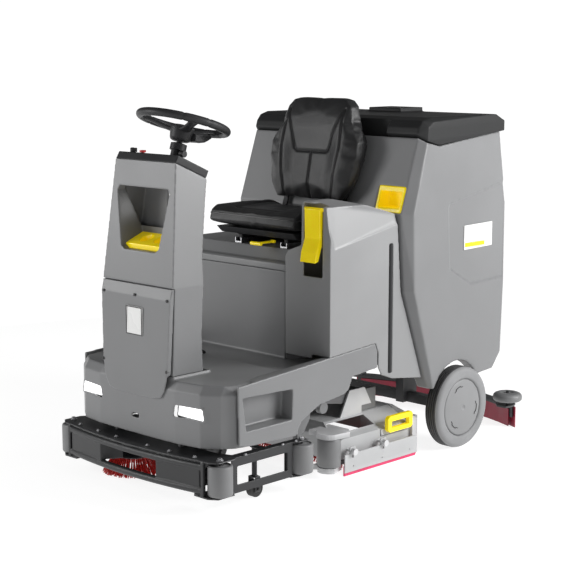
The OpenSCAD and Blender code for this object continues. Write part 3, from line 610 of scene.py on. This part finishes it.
def roller(node):
    """A moulded roller with a coved rim and a stepped end round its bore."""
    low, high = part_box(node)
    centre = Vector(((low.x + high.x) / 2, (low.y + high.y) / 2, low.z))
    r, h, bore = (high.x - low.x) / 2, high.z - low.z, 0.0087
    bm = bmesh.new()
    loop_lathe(bm, centre, (0, 0, 1), [
        (bore, 0.001), (bore + 0.012, 0.001), (bore + 0.014, 0.003), (r * 0.8, 0.003), (r * 0.82, 0),
        (r - 0.007, 0), (r - 0.002, 0.002), (r, 0.007), (r, h - 0.007), (r - 0.002, h - 0.002),
        (r - 0.007, h), (r * 0.82, h),
        (r * 0.8, h - 0.003), (bore + 0.014, h - 0.003), (bore + 0.012, h - 0.001), (bore, h - 0.001),
    ], 72)
    piece = add(node + "_moulding", bm, GREY, BODY_OF[node], crease=50)
    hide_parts(node)


for end in ("front", "rear"):
    for side in ("left", "right"):
        roller("bumper_roller_%s_%s" % (end, side))
roller("deck_roller_left")


def squeegee_roller(node):
    low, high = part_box(node)
    centre = Vector(((low.x + high.x) / 2, (low.y + high.y) / 2, low.z))
    r, h, bore = (high.x - low.x) / 2, high.z - low.z, 0.0077
    bm = bmesh.new()
    loop_lathe(bm, centre, (0, 0, 1), [
        (bore, 0.002), (r - 0.020, 0.002), (r - 0.016, 0.0), (r - 0.008, 0.002), (r - 0.002, 0.007),
        (r, 0.014), (r, h - 0.017), (r - 0.003, h - 0.009), (r - 0.008, h - 0.004),
        (r - 0.016, h - 0.0008), (r - 0.024, h),
        (r * 0.4, h), (r * 0.38, h - 0.002), (bore, h - 0.002),
    ], 80)
    piece = add(node + "_moulding", bm, GREY, BODY_OF[node], crease=60)
    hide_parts(node)


squeegee_roller("squeegee_roller_left")
squeegee_roller("squeegee_roller_right")

# ---- steering wheel --------------------------------------------------------------------------

COLUMN = Matrix.Translation(mm(0, 255, 1345)) @ Matrix.Rotation(math.radians(-17), 4, "X")


def steering_wheel():
    bm = bmesh.new()
    major, minor, level = 0.164, 0.0155, 0.018
    count, sides = 144, 20
    rings = []
    for i in range(count):
        a = 2 * math.pi * i / count
        degrees = math.degrees(a) % 360
        # the grip is thicker either side of each spoke, with a narrow neck at its end
        thick = 1.0
        for spoke in (90, 205, 335):
            off = abs((degrees - spoke + 180) % 360 - 180)
            thick -= 0.16 * math.exp(-((off - 17) / 1.4) ** 2)
        out = Vector((math.cos(a), math.sin(a), 0))
        middle = out * major + Vector((0, 0, level))
        rings.append(ring(bm, middle, minor * thick, out, Vector((0, 0, 1)), sides))
    for i in range(count):
        bridge(bm, rings[i], rings[(i + 1) % count])
    # spokes drop from the rim to the hub and widen at both ends
    for spoke in (90, 205, 335):
        a = math.radians(spoke)
        out, across = Vector((math.cos(a), math.sin(a), 0)), Vector((-math.sin(a), math.cos(a), 0))
        last = None
        for k in range(15):
            t = k / 14
            reach = 0.024 + (major - 0.024) * t
            height = -0.012 + (level + 0.010) * (t * t * (3 - 2 * t))
            width = 0.017 + 0.010 * (2 * t - 1) ** 2
            middle = out * reach + Vector((0, 0, height))
            now = [
                bm.verts.new(middle + across * width * math.cos(q) + Vector((0, 0, 0.009 * math.sin(q))))
                for q in (2 * math.pi * i / 16 for i in range(16))
            ]
            if last:
                bridge(bm, last, now)
            else:
                bm.faces.new(now[::-1])
            last = now
        bm.faces.new(last)
    lathe(bm, Vector((0, 0, 0)), (0, 0, 1), [
        (0, -0.052), (0.030, -0.052), (0.037, -0.048), (0.040, -0.040), (0.045, -0.006), (0.045, 0.002),
        (0.041, 0.0055), (0.030, 0.008), (0, 0.009),
    ], 64)
    bmesh.ops.transform(bm, matrix=COLUMN, verts=bm.verts)
    wheel = add("steering_wheel_rim", bm, DARK, "steering_wheel", crease=50)

    bm = bmesh.new()
    pod = [
        (0.030, 0.054, -0.044, -0.014), (0.055, 0.056, -0.043, -0.006), (0.085, 0.048, -0.034, 0.001),
        (0.112, 0.036, -0.020, 0.003), (0.130, 0.026, -0.008, 0.003),
    ]
    last = None
    for y, half, low, high in pod:
        outline = rounded([(-half, low), (half, low), (half * 0.9, high), (-half * 0.9, high)], 0.010)
        now = [bm.verts.new((x, y, z)) for x, z in outline]
        if last:
            bridge(bm, last, now)
        else:
            bm.faces.new(now[::-1])
        last = now
    bm.faces.new(last)
    lathe(bm, Vector((0, 0, 0)), (0, 0, 1), [
        (0, -0.223), (0.0108, -0.223), (0.0108, -0.053), (0.019, -0.053), (0.019, -0.046), (0, -0.046),
    ], 40)
    bmesh.ops.transform(bm, matrix=COLUMN, verts=bm.verts)
    add("steering_wheel_pod", bm, DARK, "steering_wheel", crease=40)
    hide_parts("steering_wheel")


steering_wheel()

# ---- brushes ---------------------------------------------------------------------------------


def tuft(bm, root, tip, thick):
    along = (tip - root).normalized()
    u = along.orthogonal().normalized()
    v = along.cross(u)
    a, b = ring(bm, root, thick, u, v, 5), ring(bm, tip, thick * 1.5, u, v, 5)
    bridge(bm, a, b)
    bm.faces.new(b)


def side_brush():
    random.seed(4)
    low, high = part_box("side_brush")
    centre = Vector(((low.x + high.x) / 2, (low.y + high.y) / 2, 0))
    bm = bmesh.new()
    lathe(bm, centre, (0, 0, 1), [
        (0, 0.062), (0.066, 0.062), (0.084, 0.068), (0.088, 0.072), (0.068, 0.084), (0, 0.084),
    ], 64)
    disc = add("side_brush_disc", bm, DARK, "side_brush", crease=40)
    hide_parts("side_brush")
    bm = bmesh.new()
    for row, (start, reach) in enumerate(((0.056, 0.094), (0.068, 0.108), (0.080, 0.121))):
        number = 46 + 8 * row
        for k in range(number):
            a = 2 * math.pi * (k + random.random() * 0.3) / number
            out, aside = Vector((math.cos(a), math.sin(a), 0)), Vector((-math.sin(a), math.cos(a), 0))
            for _ in range(4):
                bend = random.uniform(-0.006, 0.006)
                tip = centre + out * (reach + random.uniform(-0.006, 0.003)) + aside * bend
                root = centre + out * (start + random.uniform(-0.003, 0.003))
                root.z += 0.066
                tip.z += random.uniform(0.0006, 0.003)
                tuft(bm, root, tip, 0.0011)
    add("side_brush_bristles", bm, BRISTLE, "side_brush")


def brush_roller(node, twist):
    random.seed(len(node))
    low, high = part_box(node)
    centre = (low + high) / 2
    half, radius, core = 0.350, (high.z - low.z) / 2, 0.040
    bm = bmesh.new()
    lathe(bm, centre, (1, 0, 0), [
        (0, -0.374), (0.0148, -0.374), (0.0148, -half - 0.001), (core, -half), (core, half),
        (0.0148, half + 0.001), (0.0148, 0.374), (0, 0.374),
    ], 48)
    body = add(node + "_core", bm, DARK, BODY_OF[node], crease=40)
    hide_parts(node)
    bm = bmesh.new()
    rows, steps = 22, 64
    for row in range(rows):
        for k in range(steps):
            x = -half + 0.004 + (2 * half - 0.008) * k / (steps - 1)
            a = 2 * math.pi * row / rows + twist * x * 3
            out = Vector((0, math.cos(a), math.sin(a)))
            root = centre + Vector((x, 0, 0)) + out * (core - 0.002)
            aside = Vector((x + random.uniform(-0.002, 0.002), 0, 0))
            tip = centre + aside + out * (radius - random.uniform(0, 0.0015))
            tuft(bm, root, tip, 0.0022)
    add(node + "_bristles", bm, BRISTLE, BODY_OF[node])


side_brush()
brush_roller("brush_front", 1)
brush_roller("brush_rear", -1)

# ---- seat ---------------------------------------------------------------------------------------


def smoothstep(t):
    t = max(0.0, min(1.0, t))
    return t * t * (3 - 2 * t)


def stuffed(node, name, inset, shape, cap):
    """The node's solid, filled by a pressure simulation, then shaped."""
    obj = copy_of(node, name)
    modifier(obj, "REMESH", mode="VOXEL", voxel_size=6 * MM, use_smooth_shade=True)
    modifier(obj, "SMOOTH", factor=0.5, iterations=6)
    apply_modifiers(obj)
    normals = [v.normal.copy() for v in obj.data.vertices]
    for vertex, normal in zip(obj.data.vertices, normals):
        vertex.co -= normal * inset
    start = [v.co.copy() for v in obj.data.vertices]
    cloth = obj.modifiers.new("cloth", "CLOTH")
    settings = cloth.settings
    settings.use_pressure = True
    settings.uniform_pressure_force = CUSHION_PRESSURE
    settings.effector_weights.gravity = 0
    settings.quality = 5
    settings.tension_stiffness = settings.compression_stiffness = 45
    settings.shear_stiffness = 20
    settings.bending_stiffness = 30
    cloth.collision_settings.use_collision = False
    for step in range(1, 21):
        bpy.context.scene.frame_set(step)
    apply_modifiers(obj)
    for vertex, first in zip(obj.data.vertices, start):
        moved = vertex.co - first
        if moved.length > cap:
            vertex.co = first + moved.normalized() * cap
        vertex.co += shape(vertex.co)
    modifier(obj, "SMOOTH", factor=0.5, iterations=12)
    modifier(obj, "SUBSURF", levels=1, render_levels=1)
    apply_modifiers(obj)
    shade(obj)
    stand_in(obj, node, VINYL)
    return obj


def surface_of(obj):
    return BVHTree.FromPolygons([v.co for v in obj.data.vertices], [p.vertices for p in obj.data.polygons])


def cast(surface, origin, direction):
    return surface.ray_cast(origin, direction)[0]


def seam(surface, name, points, direction, radius, body):
    """Piping laid on a surface along points, which are projected on it in the given direction."""
    direction = Vector(direction)
    laid = []
    for a, b in zip(points, points[1:]):
        steps = max(2, int((b - a).length / 0.012))
        for k in range(steps):
            found = cast(surface, a.lerp(b, k / steps) - direction * 0.4, direction)
            if found:
                laid.append(found)
    found = cast(surface, points[-1] - direction * 0.4, direction)
    if found:
        laid.append(found)
    for _ in range(2):
        inner = [(a + b * 2 + c) / 4 for a, b, c in zip(laid, laid[1:], laid[2:])]
        laid = [laid[0]] + inner + [laid[-1]]
    bm = tube(bmesh.new(), laid, radius, 8)
    return add(name, bm, PIPING, body)


def pinch(obj, lines, flat, depth, reach):
    """Draws the surface in along lines given as 2-D polylines in the plane that flat() maps points to."""
    normals = [v.normal.copy() for v in obj.data.vertices]
    for vertex, normal in zip(obj.data.vertices, normals):
        u, facing = flat(vertex.co, normal)
        if not facing:
            continue
        nearest = min(distance_2d(u, a, b) for line in lines for a, b in zip(line, line[1:]))
        if nearest < reach * 3:
            vertex.co -= normal * depth * math.exp(-(nearest / reach) ** 2)


def distance_2d(p, a, b):
    along = b - a
    t = max(0.0, min(1.0, (p - a).dot(along) / along.length_squared))
    return (p - a - along * t).length


def cushion_shape(p):
    """Raised bolsters at the sides and a dished middle."""
    side = smoothstep((abs(p.x) - 0.105) / 0.07)
    top = smoothstep((p.z - 0.985) / 0.03)
    middle = smoothstep((p.y - START - 0.63) / 0.08)
    return Vector((0, 0, (-0.016 + 0.020 * side) * top * (0.35 + 0.65 * middle)))


def back_shape(p):
    """The middle lies back between two side bolsters."""
    side = smoothstep((abs(p.x) - 0.085) / 0.075)
    low = 1 - smoothstep((p.z - 1.22) / 0.12)
    return Vector((0, 0.016 * (1 - side) * low, 0))


def seat():
    cushion = stuffed("seat_cushion", "seat_cushion_cover", 0.008, cushion_shape, 0.024)
    side_line = [Vector(p) for p in ((0.128, 0.655), (0.140, 0.76), (0.150, 0.90))]
    lines = []
    for sign in (-1, 1):
        lines.append([Vector((sign * p.x, p.y)) for p in side_line])
    lines.append([Vector((-0.128, 0.655)), Vector((0.128, 0.655))])
    pinch(cushion, lines, lambda p, n: (Vector((p.x, p.y - START)), n.z > 0.3), 0.006, 0.007)
    surface = surface_of(cushion)
    for k, line in enumerate(lines):
        points = [at(p.x, p.y, 1.0) for p in line]
        seam(surface, "seat_cushion_seam_%d" % k, points, (0, 0, -1), 0.0022, "seat")
    # piping round the cushion where its top meets its side band
    half, front, rear = 0.238, 0.605, 0.915
    outline = rounded([(-half, front), (half, front), (half, rear), (-half, rear)], 0.05, 8)
    middle = Vector((0, (front + rear) / 2))
    laid = []
    for x, y in outline:
        away = (Vector((x, y)) - middle).normalized()
        height = 0.980 + 0.004 * math.cos(math.pi * (y - front) / (rear - front))
        direction = Vector((-away.x, -away.y, 0))
        found = cast(surface, at(x, y, height) - direction * 0.15, direction)
        if found:
            laid.append(found)
    bm = tube(bmesh.new(), laid, 0.0030, 8, closed=True)
    add("seat_cushion_piping", bm, PIPING, "seat")

    back = stuffed("seat_back", "seat_back_cover", 0.006, back_shape, 0.022)
    panel = [Vector(p) for p in ((-0.151, 1.396), (-0.112, 1.300), (-0.094, 1.236), (-0.082, 1.226))]
    mirror_panel = [Vector((-p.x, p.y)) for p in panel]
    lines = [panel, mirror_panel, [panel[-1], mirror_panel[-1]], [Vector((0, 1.226)), Vector((0, 1.035))]]
    for sign in (-1, 1):
        side = ((0.151, 1.396), (0.160, 1.25), (0.140, 1.12), (0.130, 1.04))
        lines.append([Vector((sign * x, z)) for x, z in side])
    pinch(back, lines, lambda p, n: (Vector((p.x, p.z)), n.y < -0.2), 0.005, 0.006)
    surface = surface_of(back)
    for k, line in enumerate(lines):
        points = [Vector((p.x, START + 0.95, p.y)) for p in line]
        seam(surface, "seat_back_seam_%d" % k, points, (0, 1, 0), 0.0020, "seat")
    edge = []
    flank = [
        (0.172, 1.026), (0.218, 1.090), (0.246, 1.200), (0.246, 1.262), (0.202, 1.350), (0.176, 1.412),
        (0.146, 1.438), (0.100, 1.446),
    ]
    outline = rounded(flank + [(-x, z) for x, z in reversed(flank)], 0.03, 5)
    for x, z in outline:
        # the back's middle plane leans back with height
        y = 0.948 + 0.255 * (z - 1.018) + 0.018 * smoothstep((z - 1.1) / 0.3)
        target = Vector((x, START + y, z))
        inward = Vector((-x, 0, 1.2 - z)).normalized()
        found = cast(surface, target - inward * 0.12, inward)
        if found:
            edge.append(found)
    bm = tube(bmesh.new(), edge, 0.0032, 8)
    add("seat_back_piping", bm, PIPING, "seat")


seat()

# ---- small fittings --------------------------------------------------------------------------------


def fittings():
    """Bolts, screws and marks that the frame's pieces carry."""
    bm = bmesh.new()
    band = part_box("bumper_frame")[1].z
    for x, y in ((422, 40), (-422, 40), (424, 452), (-424, 452)):
        hex_bolt(bm, Vector((x * MM, START + y * MM, band)), (0, 0, 1), 0.016, 0.009)
    top = band - 0.004
    for x in (330, 205, 90, -90, -205, -330):
        y = -8 - 26 * (1 - (x / 390) ** 2)
        hex_bolt(bm, Vector((x * MM, START + (y + 18) * MM, top + 0.006)), (0, 0, 1), 0.010, 0.006)
    for x in (438, -438):
        for y in (150, 340, 410):
            hex_bolt(bm, Vector((x * MM, START + y * MM, top + 0.006)), (0, 0, 1), 0.008, 0.005)
    add("bumper_bolts", bm, ZINC, "machine", crease=25)

    # the side plate's stripe and the front plate's dark border
    bm = bmesh.new()
    low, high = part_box("badge_plates")
    x = high.x + 0.0004
    bar(bm, (x - 0.0008, START + 1.398, 0.829), (x, START + 1.530, 0.846))
    add("side_plate_stripe", bm, YELLOW_PAINTED_GLOW, "machine", smooth=False)
    bm = bmesh.new()
    y = low.y
    for a, b in (
        ((-0.045, 0.5970), (0.045, 0.6005)), ((-0.045, 0.6985), (0.045, 0.7020)),
        ((-0.045, 0.6005), (-0.0415, 0.6985)), ((0.0415, 0.6005), (0.045, 0.6985)),
    ):
        bar(bm, (a[0], y - 0.0010, a[1]), (b[0], y + 0.0006, b[1]))
    add("front_plate_border", bm, DARK, "machine", smooth=False)


fittings()
